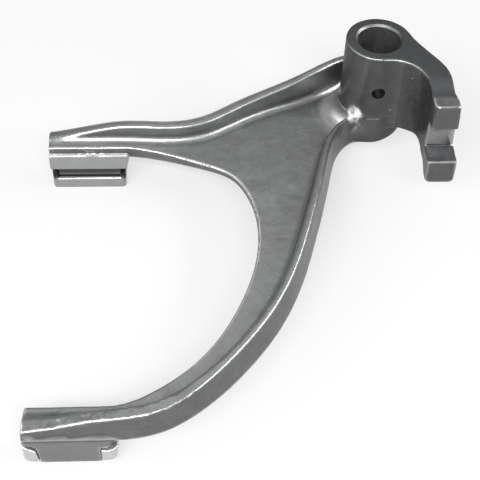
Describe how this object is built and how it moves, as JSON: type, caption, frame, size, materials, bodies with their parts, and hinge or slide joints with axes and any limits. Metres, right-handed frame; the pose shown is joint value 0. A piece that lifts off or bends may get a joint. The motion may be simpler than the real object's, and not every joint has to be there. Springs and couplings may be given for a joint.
{
  "type": "transmission shift fork",
  "caption": "Forged selector fork with a curled arm and notched jaw on a bored hub, a C-shaped yoke and clip-on wear pads at both tips.",
  "frame": {"origin": "on the axis of the rail bore, level with the underside of hub and yoke", "axes": "+Z along the rail bore towards the selector arm's end of the hub, fork opens towards -X, long arm at -Y, short arm at +Y, selector jaw at +X -Y"},
  "size_m": [0.1765, 0.1892, 0.0624],
  "materials": {
    "forged_steel": "dark as-forged skin, machined faces lighter",
    "clip_steel": "bright satin sheet"
  },
  "bodies": {
    "root": {"fork_body": "forged_steel", "long_arm_pad": "clip_steel", "short_arm_pad": "clip_steel"}
  },
  "joints": []
}
